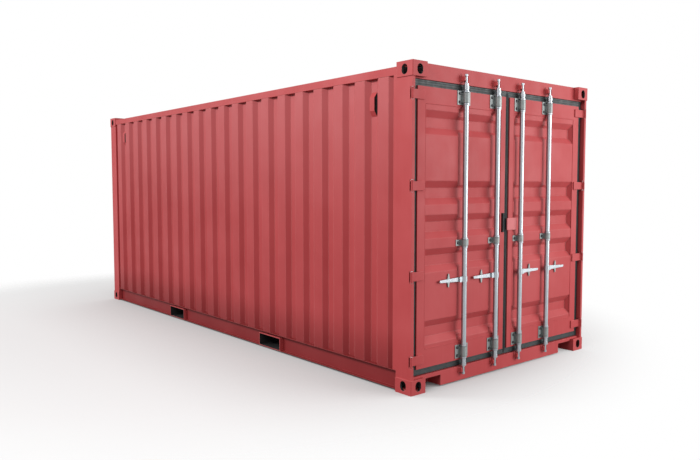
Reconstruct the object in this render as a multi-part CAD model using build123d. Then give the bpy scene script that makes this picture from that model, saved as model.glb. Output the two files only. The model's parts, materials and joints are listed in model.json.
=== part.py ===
from build123d import *
import math
import os

# The box is the standard 20 foot freight container.
# The door end faces +X, the right side faces +Y and the ground is at Z zero.
# "Depth" is counted inward from the door end, "inset" inward from a side.
# Every right-hand piece is drawn at +Y and mirrored for the left.

# Overall size.
length = 6058.0
width = 2438.0
height = 2591.0

# Corner fittings.
fitting_length = 178.0
fitting_width = 162.0
fitting_height = 118.0
fitting_plate = 28.0
fitting_wall = 19.0
fitting_edge = 6.0
fitting_slot_length = 124.0
fitting_slot_width = 63.5
fitting_hole_height = 80.0
fitting_hole_width = 64.0
fitting_slot_end_inset = 102.5
fitting_slot_side_inset = 89.5

# Sheet and plate thicknesses.
wall_sheet = 2.0
post_plate = 6.0
rail_plate = 5.0
tube_plate = 4.0

# Corner posts.
post_face_depth = 8.0
side_inset = 6.0
door_post_depth = 214.0
door_post_return = 34.0
door_post_stop_depth = 96.0
door_post_stop = 62.0
door_post_back = 50.0
door_post_back_depth = 200.0
front_post_inner = 110.0
front_post_back = 46.0
front_post_chamfer_depth = 60.0

# Rails along the sides.
top_rail_size = 60.0
top_rail_drop = 32.0
bottom_rail_bottom = 16.0
bottom_rail_top = 172.0
bottom_rail_flange = 48.0
bottom_rail_foot = 42.0

# Corrugated walls.
wave_inset = 8.0
wave_depth = 36.0
wave_count = 20
wave_outer_share = 0.42
wave_inner_share = 0.24
wave_end_flat = 12.0
front_wave_inset = 10.0
front_wave_depth = 45.0
front_wave_count = 9
front_wave_outer_share = 0.42
front_wave_inner_share = 0.22

# Front rails.
front_rail_depth = 70.0
front_rail_face = 10.0
front_top_depth = 68.0

# Roof.
roof_lap = 40.0
roof_press_depth = 20.0
roof_press_count = 27
roof_press_share = 0.62
roof_press_run = 22.0
roof_press_margin = 90.0

# Floor and what carries it.
floor_thickness = 28.0
floor_board_count = 5
floor_board_gap = 3.0
cross_height = 124.0
cross_flange = 45.0
cross_counts = (5, 5, 6)

# Fork pockets.
pocket_width = 360.0
pocket_height = 115.0
pocket_bottom = 22.0
pocket_spacing = 2050.0
pocket_side_plate = 6.0
pocket_top_plate = 7.0
pocket_inset = 12.0

# Door header and sill.
header_face = 46.0
header_back = 178.0
header_drop = 2.0
header_bar_height = 10.0
sill_bottom = 12.0
sill_face = 34.0
sill_top = 131.0
sill_step_depth = 96.0
sill_notch_length = 213.0
sill_notch_top = 100.0

# Door leaves.
leaf_inner = 29.0
leaf_side_gap = 61.0
leaf_foot_gap = 56.0
leaf_head_gap = 54.0
leaf_face = 38.0
leaf_thickness = 50.0
leaf_foot_rail = 151.0
leaf_head_rail = 130.0
centre_stile = 62.0
outer_stile = 88.0
panel_set_back = 2.0
groove_depth = 36.0
groove_height = 192.0
groove_run = 58.0
groove_end_run = 36.0
groove_level_shares = (0.0665, 0.3622, 0.5013, 0.6404, 0.9263)
bar_recess_width = 116.0
bar_recess_depth = 20.0
bar_recess_run = 25.0
bar_recess_margin = 15.0

# Pocket in the left centre stile and the plate that the right leaf carries.
stile_pocket_bottom = 1228.0
stile_pocket_top = 1398.0
stile_pocket_width = 46.0
stile_pocket_depth = 30.0
lap_plate_inner = 4.0
lap_plate_outer = 136.0
lap_plate_bottom = 1246.0
lap_plate_top = 1352.0
lap_plate_thickness = 10.0

# Rubber seal round each leaf.
seal_width = 49.0
seal_side_width = 55.0
seal_centre_width = 25.0
seal_face = 50.0
seal_flap = 6.0
seal_back = 84.0
seal_root = 12.0
seal_lip = 10.0
seal_lip_back = 68.0

# Hinges.
hinge_level_shares = (0.0338, 0.3344, 0.6526, 0.9698)
hinge_height = 72.0
pin_depth = 14.0
pin_inset = 14.0
pin_radius = 6.0
pin_play = 0.5
knuckle_radius = 10.0
blade_thickness = 10.0
blade_neck = 16.0
blade_neck_drop = 18.0
blade_end_inset = 165.0
lug_height = 8.0
lug_gap = 2.0
notch_margin = 2.0
notch_side_depth = 34.0
notch_return_depth = 50.0
lug_root_depth = 34.0
lug_root_inset = 34.0

# Locking bars.
inner_bar_place = 172.0
outer_bar_place = 590.0
bar_depth = 10.0
bar_radius = 21.0
bar_bottom = 65.0
bar_top_drop = 46.0
bar_knob_length = 20.0
bar_knob_radius = 14.0
bar_neck_radius = 10.0
bar_chamfer = 3.0
lower_neck_top = 136.0
upper_neck_clear = 10.0
cam_hub_radius = 24.0
cam_height = 26.0
cam_reach = 30.0
cam_width = 26.0
cam_hook = 9.0
lower_cam_clear = 9.0
upper_cam_clear = 12.0

# Keepers on the header and the sill.
keeper_half_gap = 16.0
keeper_cheek = 12.0
keeper_base = 6.0
keeper_base_width = 84.0
keeper_height = 52.0
keeper_tip_height = 30.0
keeper_tip_depth = 4.0
upper_keeper_rise = 17.0
lower_keeper_bottom = 76.0

# Guides that hold the bars on the leaves.
guide_play = 1.0
guide_strap = 5.0
guide_plate = 5.0
guide_width = 156.0
long_guide_height = 113.0
lower_guide_rise = 72.0
upper_guide_drop = 57.0
short_guide_height = 51.0
middle_guide_share = 0.4415
guide_strap_share = 0.72

# Handles, their hubs and the retainers behind them.
handle_level = 866.0
hub_radius = 26.0
hub_height = 44.0
hub_lug_end = 60.0
hub_lug_front = 4.0
hub_lug_back = 15.0
handle_pivot = 46.0
handle_end_radius = 16.0
handle_front = 16.0
handle_back = 26.0
handle_reach = 290.0
handle_root_height = 36.0
handle_tip_height = 20.0
handle_pin_radius = 6.0
handle_pin_play = 0.6
handle_pin_head = 9.0
handle_pin_back = 26.6
handle_head_thickness = 2.0
retainer_distance = 170.0
retainer_height = 111.0
retainer_width = 32.0
retainer_tip_width = 10.0
retainer_front = 29.5
retainer_plate = 7.0
retainer_boss_width = 20.0
retainer_boss_height = 44.0

# Ventilator hoods near the top of the sides.
vent_drop = 199.0
vent_base_height = 196.0
vent_front_height = 106.0
vent_width = 62.0
vent_front_width = 54.0
vent_height = 28.0
vent_sheet = 2.0

# Values that follow from the sizes above.
half_length = length / 2
half_width = width / 2
fitting_inner = half_width - fitting_width
casting_underside = height - fitting_height
top_rail_top = height - top_rail_drop
top_rail_bottom = top_rail_top - top_rail_size - tube_plate
header_top = height - header_drop
header_bar_bottom = casting_underside - header_bar_height
sill_notch_end = fitting_inner - sill_notch_length
leaf_outer = half_width - door_post_return - leaf_side_gap
leaf_bottom = sill_top + leaf_foot_gap
leaf_top = header_bar_bottom - leaf_head_gap
leaf_height = leaf_top - leaf_bottom
leaf_rail_bottom = leaf_bottom + leaf_foot_rail
leaf_rail_top = leaf_top - leaf_head_rail
panel_height = leaf_rail_top - leaf_rail_bottom
groove_levels = [leaf_rail_bottom + share * panel_height for share in groove_level_shares]
hinge_levels = [leaf_bottom + share * leaf_height for share in hinge_level_shares]
bar_positions = (inner_bar_place, outer_bar_place)
bar_top = height - bar_top_drop
upper_keeper_bottom = header_bar_bottom + upper_keeper_rise
upper_neck_bottom = upper_keeper_bottom - upper_neck_clear
lower_cam_bottom = sill_top + lower_cam_clear
upper_cam_bottom = leaf_top + upper_cam_clear
long_guide_levels = (leaf_bottom + lower_guide_rise, leaf_top - upper_guide_drop)
short_guide_level = leaf_bottom + middle_guide_share * leaf_height
vent_level = top_rail_bottom - vent_drop
door_plane = half_length
front_plane = -half_length
floor_bottom = bottom_rail_top - floor_thickness
rail_web_inset = side_inset + bottom_rail_flange
pocket_tube_bottom = pocket_bottom - pocket_side_plate
pocket_tube_top = pocket_bottom + pocket_height + pocket_top_plate
leaf_back = leaf_face + leaf_thickness
groove_shift = leaf_face + panel_set_back


def block(x0, x1, y0, y1, z0, z1):
    """Box between two opposite corners."""
    middle = Pos((x0 + x1) / 2, (y0 + y1) / 2, (z0 + z1) / 2)
    return middle * Box(abs(x1 - x0), abs(y1 - y0), abs(z1 - z0))


def door_block(d0, d1, y0, y1, z0, z1):
    """Box given by its depths from the door end."""
    return block(door_plane - d0, door_plane - d1, y0, y1, z0, z1)


def front_block(d0, d1, y0, y1, z0, z1):
    """Box given by its depths from the front end."""
    return block(front_plane + d0, front_plane + d1, y0, y1, z0, z1)


def prism(points, z0, z1):
    """Upright solid over a closed outline of (x, y) points."""
    face = make_face(Polyline(*points, close=True))
    return Pos(0, 0, z0) * extrude(face, amount=z1 - z0, dir=(0, 0, 1))


def left_of(shape):
    """Mirror a right-hand piece to the left side."""
    return mirror(shape, about=Plane.XZ)


def save(shape, name):
    export_step(shape, os.path.join("parts", name + ".step"))


def frustum(u, v, a, b, run_u, run_v, depth):
    """Pressed hollow with sloping sides, its mouth on the XY plane."""
    mouth = Pos(u, v, 0) * Rectangle(a, b)
    floor = Pos(u, v, -depth) * Rectangle(a - 2 * run_u, b - 2 * run_v)
    return loft([mouth, floor], ruled=True)


def pressed_sheet(u0, u1, v0, v1, hollows, deepest, thickness):
    """Flat sheet pressed into hollows, the same thickness all over."""
    core = block(u0, u1, v0, v1, -deepest - 2 * thickness, 0)
    for hollow in hollows:
        core = core - hollow
    return core - Pos(0, 0, -thickness) * core


# Corner fittings: hollow castings with a slot above or below and two side holes.
def top_door_fitting():
    x1 = door_plane
    x0 = x1 - fitting_length
    y1 = half_width
    y0 = y1 - fitting_width
    z1 = height
    z0 = z1 - fitting_height
    body = block(x0, x1, y0, y1, z0, z1)
    body = fillet(body.edges().filter_by(Axis.Z).sort_by_distance((x1, y1, z1))[0], fitting_edge)
    inside = block(x0 + fitting_wall, x1 - fitting_wall, y0 + fitting_wall, y1 - fitting_wall,
                   z0 + fitting_wall, z1 - fitting_plate)
    slot_at = Pos(x1 - fitting_slot_end_inset, y1 - fitting_slot_side_inset, z1 - fitting_plate)
    slot = slot_at * extrude(SlotOverall(fitting_slot_length, fitting_slot_width), amount=fitting_plate)
    hole = SlotOverall(fitting_hole_height, fitting_hole_width, rotation=90)
    middle = (z0 + z1 - fitting_plate + fitting_wall) / 2
    end_plane = Plane(origin=(x1, (y0 + y1) / 2, middle), x_dir=(0, 1, 0), z_dir=(1, 0, 0))
    side_plane = Plane(origin=((x0 + x1) / 2, y1, middle), x_dir=(-1, 0, 0), z_dir=(0, 1, 0))
    end_hole = extrude(end_plane * hole, amount=-fitting_wall)
    side_hole = extrude(side_plane * hole, amount=-fitting_wall)
    return body - inside - slot - end_hole - side_hole


def fittings():
    first = top_door_fitting()
    flip_z = Plane(origin=(0, 0, height / 2), z_dir=(0, 0, 1))
    for end in ("door", "front"):
        at_end = first if end == "door" else mirror(first, about=Plane.YZ)
        for level in ("top", "bottom"):
            shape = at_end if level == "top" else mirror(at_end, about=flip_z)
            save(shape, "fitting_" + end + "_" + level + "_right")
            save(left_of(shape), "fitting_" + end + "_" + level + "_left")


# Posts: closed folded sections, the door posts notched where the hinges sit.
def hollow_prism(points, plate, z0, z1):
    outline = make_face(Polyline(*points, close=True))
    inner = offset(outline, amount=-plate, kind=Kind.INTERSECTION)
    ring = outline - inner
    return Pos(0, 0, z0) * extrude(ring, amount=z1 - z0, dir=(0, 0, 1))


def door_post():
    def at(depth, inset):
        return (door_plane - depth, half_width - inset)
    points = [at(post_face_depth, side_inset), at(door_post_depth, side_inset),
              at(door_post_depth, door_post_back), at(door_post_back_depth, door_post_stop),
              at(door_post_stop_depth, door_post_stop), at(door_post_stop_depth, door_post_return),
              at(post_face_depth, door_post_return)]
    post = hollow_prism(points, post_plate, fitting_height, top_rail_bottom)
    inner = half_width - door_post_stop - post_plate
    post = post - door_block(0, fitting_length, inner, half_width, casting_underside, height)
    post = post - door_block(fitting_length, door_post_depth + post_plate, inner, half_width, 0,
                             bottom_rail_top)
    for level in hinge_levels:
        half = hinge_height / 2 + lug_gap + lug_height + notch_margin
        z0 = level - half
        z1 = level + half
        y0 = half_width - door_post_return - post_plate
        post = post - door_block(0, notch_side_depth, y0, half_width, z0, z1)
        post = post - door_block(0, notch_return_depth, y0, half_width - door_post_return + post_plate,
                                 z0, z1)
    return post


def front_post():
    def at(depth, inset):
        return (front_plane + depth, half_width - inset)
    points = [at(post_face_depth, side_inset), at(fitting_length, side_inset),
              at(fitting_length, front_post_back), at(front_post_chamfer_depth, front_post_inner),
              at(post_face_depth, front_post_inner)]
    return hollow_prism(points, post_plate, fitting_height, casting_underside)


# Rails.
def top_side_rail():
    x0 = front_plane + fitting_length
    x1 = door_plane - fitting_length
    y1 = half_width - side_inset
    y0 = y1 - top_rail_size
    outer = block(x0, x1, y0, y1, top_rail_bottom, top_rail_top)
    inner = block(x0, x1, y0 + tube_plate, y1 - tube_plate, top_rail_bottom + tube_plate,
                  top_rail_top - tube_plate)
    return outer - inner


def bottom_side_rail():
    x0 = front_plane + fitting_length
    x1 = door_plane - fitting_length
    y1 = half_width - side_inset
    web = half_width - rail_web_inset
    outer = block(x0, x1, web, y1, bottom_rail_bottom, bottom_rail_top)
    hollow = block(x0, x1, web + rail_plate, y1, bottom_rail_bottom + rail_plate,
                   bottom_rail_top - rail_plate)
    toe = block(x0, x1, web + bottom_rail_foot, y1, bottom_rail_bottom, bottom_rail_bottom + rail_plate)
    rail = outer - hollow - toe
    for middle in (-pocket_spacing / 2, pocket_spacing / 2):
        reach = pocket_width / 2 + pocket_side_plate
        rail = rail - block(middle - reach, middle + reach, web - rail_plate, y1, pocket_tube_bottom,
                            pocket_tube_top)
    return rail


def door_header():
    beam = door_block(header_face, header_back, -fitting_inner, fitting_inner, casting_underside,
                      header_top)
    inside = door_block(header_face + tube_plate, header_back - tube_plate, -fitting_inner,
                        fitting_inner, casting_underside + tube_plate, header_top - tube_plate)
    reach = half_width - door_post_return
    bar = door_block(header_face, door_post_stop_depth, -reach, reach, header_bar_bottom,
                     casting_underside)
    return beam - inside + bar


def door_sill():
    reach = half_width - door_post_return
    step_reach = half_width - door_post_stop
    front_bar = door_block(sill_face, sill_step_depth, -reach, reach, fitting_height, sill_top)
    step_bar = door_block(sill_step_depth, header_back, -step_reach, step_reach, fitting_height,
                          bottom_rail_top)
    face = door_block(sill_face, sill_face + rail_plate, -fitting_inner, fitting_inner,
                      sill_bottom, fitting_height)
    back = door_block(header_back - rail_plate, header_back, -fitting_inner, fitting_inner,
                      sill_bottom, fitting_height)
    sill = front_bar + step_bar + face + back
    for side in (-1, 1):
        notch = door_block(sill_face - rail_plate, sill_face + rail_plate, side * sill_notch_end,
                           side * fitting_inner, 0, sill_notch_top)
        gusset = door_block(sill_face, header_back, side * sill_notch_end,
                            side * (sill_notch_end - rail_plate), sill_bottom, fitting_height)
        sill = sill - notch + gusset
    return sill


def front_top_rail():
    beam = front_block(front_rail_face, front_top_depth, -fitting_inner, fitting_inner,
                       casting_underside, top_rail_top)
    inside = front_block(front_rail_face + tube_plate, front_top_depth - tube_plate, -fitting_inner,
                         fitting_inner, casting_underside + tube_plate, top_rail_top - tube_plate)
    plate = front_block(front_top_depth, fitting_length, -fitting_inner, fitting_inner,
                        top_rail_top - rail_plate, top_rail_top)
    return beam - inside + plate


def front_bottom_rail():
    reach = half_width - front_post_inner
    face_low = front_block(front_rail_face, front_rail_face + rail_plate, -fitting_inner, fitting_inner,
                           bottom_rail_bottom, fitting_height)
    face_high = front_block(front_rail_face, front_rail_face + rail_plate, -reach, reach,
                            fitting_height, bottom_rail_top)
    top = front_block(front_rail_face, front_rail_depth, -reach, reach, bottom_rail_top - rail_plate,
                      bottom_rail_top)
    foot = front_block(front_rail_face, front_rail_depth, -fitting_inner, fitting_inner,
                       bottom_rail_bottom, bottom_rail_bottom + rail_plate)
    return face_low + face_high + top + foot


# Corrugated walls: one folded strip, drawn in plan and raised.
def wave_points(start, total, count, outer_share, inner_share, end_flat, depth, sheet):
    """Outer and inner lines of a folded sheet as (along, inward) pairs."""
    pitch = (total - 2 * end_flat) / (count - inner_share)
    outer = outer_share * pitch
    inner = inner_share * pitch
    run = (pitch - outer - inner) / 2
    shift = sheet * math.tan(math.atan2(depth, run) / 2)
    face = [(start, depth)]
    back = [(start, depth + sheet)]
    place = start + end_flat
    for index in range(count):
        crest = place + run
        crest_end = crest + outer
        trough = crest_end + run
        face += [(place, depth), (crest, 0), (crest_end, 0), (trough, depth)]
        back += [(place + shift, depth + sheet), (crest + shift, sheet),
                 (crest_end - shift, sheet), (trough - shift, depth + sheet)]
        place = trough + inner
    face.append((start + total, depth))
    back.append((start + total, depth + sheet))
    return face + back[::-1], pitch


def side_wall():
    start = front_plane + fitting_length
    total = door_plane - door_post_depth - start
    points, pitch = wave_points(start, total, wave_count, wave_outer_share, wave_inner_share,
                                wave_end_flat, wave_depth, wall_sheet)
    outline = [(along, half_width - wave_inset - inward) for along, inward in points]
    return prism(outline, bottom_rail_top, top_rail_bottom)


def front_wall():
    reach = half_width - front_post_inner
    points, pitch = wave_points(-reach, 2 * reach, front_wave_count, front_wave_outer_share,
                                front_wave_inner_share, wave_end_flat, front_wave_depth, wall_sheet)
    outline = [(front_plane + front_wave_inset + inward, along) for along, inward in points]
    return prism(outline, bottom_rail_top, casting_underside)


def roof():
    x0 = front_plane + fitting_length
    x1 = door_plane - fitting_length
    reach = half_width - side_inset - top_rail_size + roof_lap
    pitch = (x1 - x0) / roof_press_count
    span = 2 * (half_width - side_inset - top_rail_size) - 2 * roof_press_margin
    hollows = []
    for index in range(roof_press_count):
        middle = x0 + pitch * (index + 1 / 2)
        hollows.append(frustum(middle, 0, pitch * roof_press_share, span, roof_press_run,
                               roof_press_run, roof_press_depth))
    sheet = pressed_sheet(x0, x1, -reach, reach, hollows, roof_press_depth, wall_sheet)
    return Pos(0, 0, top_rail_top + wall_sheet) * sheet


# Floor, cross members and fork pockets.
def floor_boards():
    x0 = front_plane + front_rail_depth
    x1 = door_plane - header_back
    reach = half_width - rail_web_inset
    pitch = (x1 - x0 + floor_board_gap) / floor_board_count
    fitting_clear = fitting_length + floor_board_gap
    solids = []
    for index in range(floor_board_count):
        left = x0 + pitch * index
        right = left + pitch - floor_board_gap
        board = block(left, right, -reach, reach, floor_bottom, bottom_rail_top)
        if index == 0:
            for side in (-1, 1):
                edge = half_width - front_post_inner - floor_board_gap
                corner = front_block(0, fitting_clear, side * edge, side * half_width, 0, height)
                board = board - corner
        solids.append(board)
    return solids


def cross_members():
    reach = half_width - rail_web_inset
    tunnel = pocket_width / 2 + pocket_side_plate + cross_flange
    half_spacing = pocket_spacing / 2
    bays = ((half_spacing + tunnel, door_plane - header_back - cross_flange),
            (-half_spacing + tunnel, half_spacing - tunnel),
            (front_plane + fitting_length + cross_flange, -half_spacing - tunnel))
    solids = []
    for (x0, x1), count in zip(bays, cross_counts):
        step = (x1 - x0) / (count - 1)
        for index in range(count):
            x = x0 + step * index
            outer = block(x - cross_flange / 2, x + cross_flange / 2, -reach, reach,
                          floor_bottom - cross_height, floor_bottom)
            hollow = block(x - cross_flange / 2 + tube_plate, x + cross_flange, -reach, reach,
                           floor_bottom - cross_height + tube_plate, floor_bottom - tube_plate)
            solids.append(outer - hollow)
    return solids


def fork_pockets():
    reach = half_width - pocket_inset
    half = pocket_width / 2
    solids = []
    for middle in (-pocket_spacing / 2, pocket_spacing / 2):
        outer = block(middle - half - pocket_side_plate, middle + half + pocket_side_plate, -reach, reach,
                      pocket_tube_bottom, pocket_tube_top)
        inner = block(middle - half, middle + half, -reach, reach, pocket_bottom,
                      pocket_bottom + pocket_height)
        solids.append(outer - inner)
    return solids


# Ventilator hoods: open toward the door end.
def vent_hoods():
    start = front_plane + fitting_length
    total = door_plane - door_post_depth - start
    pitch = (total - 2 * wave_end_flat) / (wave_count - wave_inner_share)
    first = door_plane - door_post_depth - wave_end_flat - pitch + wave_inner_share * pitch / 2
    last = start + wave_end_flat + pitch - wave_inner_share * pitch / 2
    surface = half_width - wave_inset - wave_depth
    plane_out = Plane(origin=(0, surface, vent_level), x_dir=(-1, 0, 0), z_dir=(0, 1, 0))
    hoods = []
    for middle in (first, last):
        base = Pos(-middle, 0, 0) * Rectangle(vent_width, vent_base_height)
        front = Pos(-middle, 0, vent_height) * Rectangle(vent_front_width, vent_front_height)
        skin = loft([base, front], ruled=True)
        cut_base = Pos(-middle - 2 * vent_sheet, 0, 0) * Rectangle(
            vent_width, vent_base_height - 4 * vent_sheet)
        cut_front = Pos(-middle - 2 * vent_sheet, 0, vent_height - vent_sheet) * Rectangle(
            vent_front_width + 2 * vent_sheet, vent_front_height - vent_sheet)
        hood = skin - loft([cut_base, cut_front], ruled=True)
        hoods.append(plane_out * hood)
    return hoods + [left_of(hood) for hood in hoods]


# Keepers: two cheeks on a base plate, open toward the front.
def keeper(y, face, bottom):
    half = keeper_half_gap
    base = door_block(face - keeper_base, face, y - keeper_base_width / 2, y + keeper_base_width / 2,
                      bottom, bottom + keeper_height)
    solid = base
    rise = (keeper_height - keeper_tip_height) / 2
    for side in (-1, 1):
        y0 = y + side * half
        outline = [(door_plane - face, bottom), (door_plane - face, bottom + keeper_height),
                   (door_plane - keeper_tip_depth, bottom + keeper_height - rise),
                   (door_plane - keeper_tip_depth, bottom + rise)]
        wire = Polyline(*[(x, y0, z) for x, z in outline], close=True)
        solid = solid + extrude(make_face(wire), amount=keeper_cheek, dir=(0, side, 0))
    return solid


def keepers(face, bottom):
    return [keeper(side * y, face, bottom) for side in (-1, 1) for y in bar_positions]


# Door leaf: a hollow frame ring with a pressed panel in it.
def leaf_frame():
    outer = door_block(leaf_face, leaf_back, leaf_inner, leaf_outer, leaf_bottom, leaf_top)
    y0 = leaf_inner + centre_stile
    y1 = leaf_outer - outer_stile
    window = door_block(leaf_face, leaf_back, y0, y1, leaf_rail_bottom, leaf_rail_top)
    t = tube_plate
    cavity = door_block(leaf_face + t, leaf_back - t, leaf_inner + t, leaf_outer - t, leaf_bottom + t,
                        leaf_top - t)
    core = door_block(leaf_face + t, leaf_back - t, y0 - t, y1 + t, leaf_rail_bottom - t,
                      leaf_rail_top + t)
    return outer - window - (cavity - core)


def stile_pocket(frame):
    """Sink a pocket with its own walls into the centre stile."""
    t = tube_plate
    y0 = leaf_inner
    y1 = leaf_inner + stile_pocket_width
    liner = door_block(leaf_face + t, leaf_face + stile_pocket_depth + t, y0 + t, y1 + t,
                       stile_pocket_bottom - t, stile_pocket_top + t)
    hole = door_block(leaf_face, leaf_face + stile_pocket_depth, y0, y1, stile_pocket_bottom,
                      stile_pocket_top)
    return frame + liner - hole


def leaf_panel():
    y0 = leaf_inner + centre_stile
    y1 = leaf_outer - outer_stile
    middle = (y0 + y1) / 2
    hollows = []
    for level in groove_levels:
        hollows.append(frustum(middle, level, y1 - y0, groove_height, groove_end_run, groove_run,
                               groove_depth))
    span = leaf_rail_top - leaf_rail_bottom - 2 * bar_recess_margin
    for y in bar_positions:
        hollows.append(frustum(y, (leaf_rail_top + leaf_rail_bottom) / 2, bar_recess_width, span,
                               bar_recess_run, bar_recess_run, bar_recess_depth))
    sheet = pressed_sheet(y0, y1, leaf_rail_bottom, leaf_rail_top, hollows, groove_depth, wall_sheet)
    face = Plane(origin=(door_plane - groove_shift, 0, 0), x_dir=(0, 1, 0), z_dir=(1, 0, 0))
    return face * sheet


# Rubber seal: a flap round the leaf with a root and a lip behind it.
def seal_ring(grow_low, grow_high, d0, d1):
    """Frame between two outlines that stand off the leaf by the given shares of the seal."""
    def outline(share):
        y0 = leaf_inner - share * seal_centre_width
        y1 = leaf_outer + share * seal_side_width
        z0 = leaf_bottom - share * seal_width
        z1 = leaf_top + share * seal_width
        return door_block(d0, d1, y0, y1, z0, z1)
    return outline(grow_high) - outline(grow_low)


def leaf_seal():
    root_share = seal_root / seal_width
    lip_share = 1 - seal_lip / seal_width
    flap = seal_ring(0, 1, seal_face, seal_face + seal_flap)
    root = seal_ring(0, root_share, seal_face + seal_flap, seal_back)
    lip = seal_ring(lip_share, 1, seal_face + seal_flap, seal_lip_back)
    return flap + root + lip


# Hinges: gooseneck blades on the leaf, lugs with pins on the post.
def hinge_axis():
    return door_plane - pin_depth, half_width - pin_inset


def hinge_blade(level):
    x, y = hinge_axis()
    half = blade_thickness / 2
    outer_edge = half_width - leaf_outer
    flat_depth = leaf_face - half
    neck = (x - blade_neck_drop, y - blade_neck)
    line = [(x, y), neck, (door_plane - flat_depth, half_width - outer_edge),
            (door_plane - flat_depth, half_width - blade_end_inset)]
    front = []
    back = []
    for index, point in enumerate(line):
        before = line[max(index - 1, 0)]
        after = line[min(index + 1, len(line) - 1)]
        first = math.atan2(point[1] - before[1], point[0] - before[0])
        second = math.atan2(after[1] - point[1], after[0] - point[0])
        if index == 0:
            first = second
        if index == len(line) - 1:
            second = first
        mean = (first + second) / 2
        stretch = half / math.cos((first - second) / 2)
        nx = -math.sin(mean) * stretch
        ny = math.cos(mean) * stretch
        front.append((point[0] + nx, point[1] + ny))
        back.append((point[0] - nx, point[1] - ny))
    z0 = level - hinge_height / 2
    z1 = level + hinge_height / 2
    blade = prism(front + back[::-1], z0, z1)
    knuckle = Pos(x, y, level) * Cylinder(knuckle_radius, hinge_height)
    bore = Pos(x, y, level) * Cylinder(pin_radius + pin_play, hinge_height + pin_radius)
    return blade + knuckle - bore


def hinge_lugs(level):
    x, y = hinge_axis()
    solid = Pos(x, y, level) * Cylinder(pin_radius, hinge_height + 2 * (lug_gap + lug_height))
    for side in (-1, 1):
        z0 = level + side * (hinge_height / 2 + lug_gap)
        z1 = z0 + side * lug_height
        disc = Pos(x, y, (z0 + z1) / 2) * Cylinder(knuckle_radius, lug_height)
        root_x = door_plane - lug_root_depth
        root_y = half_width - lug_root_inset
        arm = prism([(x - knuckle_radius / 2, y + knuckle_radius / 2), (root_x, y + knuckle_radius / 2),
                     (root_x, root_y), (x + knuckle_radius / 2, root_y),
                     (x + knuckle_radius / 2, y - knuckle_radius / 2)], min(z0, z1), max(z0, z1))
        solid = solid + disc + arm
    return solid


# Locking bar: a turned rod with a neck and a knob at each end, two cams and a hub.
def bar_rod(y):
    c = bar_chamfer
    lower_knob = bar_bottom + bar_knob_length
    upper_knob = bar_top - bar_knob_length
    points = [(0, bar_bottom), (bar_knob_radius - c, bar_bottom), (bar_knob_radius, bar_bottom + c),
              (bar_knob_radius, lower_knob - c), (bar_neck_radius, lower_knob),
              (bar_neck_radius, lower_neck_top), (bar_radius, lower_neck_top + c),
              (bar_radius, upper_neck_bottom - c), (bar_neck_radius, upper_neck_bottom),
              (bar_neck_radius, upper_knob), (bar_knob_radius, upper_knob + c),
              (bar_knob_radius, bar_top - c), (bar_knob_radius - c, bar_top), (0, bar_top)]
    wire = Polyline(*[(r, 0, z) for r, z in points], close=True)
    rod = revolve(make_face(wire), axis=Axis.Z)
    return Pos(door_plane - bar_depth, y, 0) * rod


def bar_cam(y, bottom):
    x = door_plane - bar_depth
    hub = Pos(x, y, bottom + cam_height / 2) * Cylinder(cam_hub_radius, cam_height)
    half = cam_width / 2
    claw = prism([(x, y - half), (x - cam_reach, y - half), (x - cam_reach, y - half + cam_hook),
                  (x - cam_hub_radius, y), (x - cam_reach, y + half - cam_hook),
                  (x - cam_reach, y + half), (x, y + half)], bottom, bottom + cam_height)
    return hub + claw


def bar_hub(y):
    x = door_plane - bar_depth
    ring = Pos(x, y, handle_level) * Cylinder(hub_radius, hub_height)
    lug = door_block(hub_lug_front, hub_lug_back, y, y + hub_lug_end, handle_level - hub_height / 2,
                     handle_level + hub_height / 2)
    pin_at = Plane(origin=(door_plane - handle_pin_back, y + handle_pivot, handle_level), z_dir=(1, 0, 0))
    head_at = Plane(origin=(door_plane - handle_pin_back - handle_head_thickness, y + handle_pivot,
                            handle_level), z_dir=(1, 0, 0))
    pin = extrude(pin_at * Circle(handle_pin_radius), amount=handle_pin_back - hub_lug_back)
    head = extrude(head_at * Circle(handle_pin_head), amount=handle_head_thickness)
    return ring + lug + pin + head


def locking_bar(y):
    return bar_rod(y) + bar_cam(y, lower_cam_bottom) + bar_cam(y, upper_cam_bottom) + bar_hub(y)


def bar_handle(y):
    face = Plane(origin=(door_plane - handle_back, y, handle_level), x_dir=(0, 1, 0), z_dir=(1, 0, 0))
    root = handle_root_height / 2
    tip = handle_tip_height / 2
    shape = make_face(Polyline((handle_pivot, root), (handle_reach - tip, tip),
                               (handle_reach - tip, -tip), (handle_pivot, -root), close=True))
    shape = shape + Pos(handle_pivot, 0) * Circle(handle_end_radius)
    shape = shape + Pos(handle_reach - tip, 0) * Circle(tip)
    shape = shape - Pos(handle_pivot, 0) * Circle(handle_pin_radius + handle_pin_play)
    return extrude(face * shape, amount=handle_back - handle_front)


# Guides hold the bars; each is a plate with a strap round the rod.
def guide(y, level, plate_height, plate_width):
    z0 = level - plate_height / 2
    z1 = level + plate_height / 2
    strap_half = plate_height * guide_strap_share / 2
    inner = bar_radius + guide_play
    outer = inner + guide_strap
    x = door_plane - bar_depth
    plate_front = leaf_face - guide_plate
    plate = door_block(plate_front, leaf_face, y - plate_width / 2, y + plate_width / 2, z0, z1)
    round_part = Pos(x, y, level) * Cylinder(outer, 2 * strap_half)
    legs = door_block(bar_depth, plate_front, y - outer, y + outer, level - strap_half,
                      level + strap_half)
    bore = Pos(x, y, level) * Cylinder(inner, plate_height)
    return plate + round_part + legs - bore


def leaf_guides():
    solids = []
    for y in bar_positions:
        for level in long_guide_levels:
            solids.append(guide(y, level, long_guide_height, guide_width))
    return solids


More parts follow.
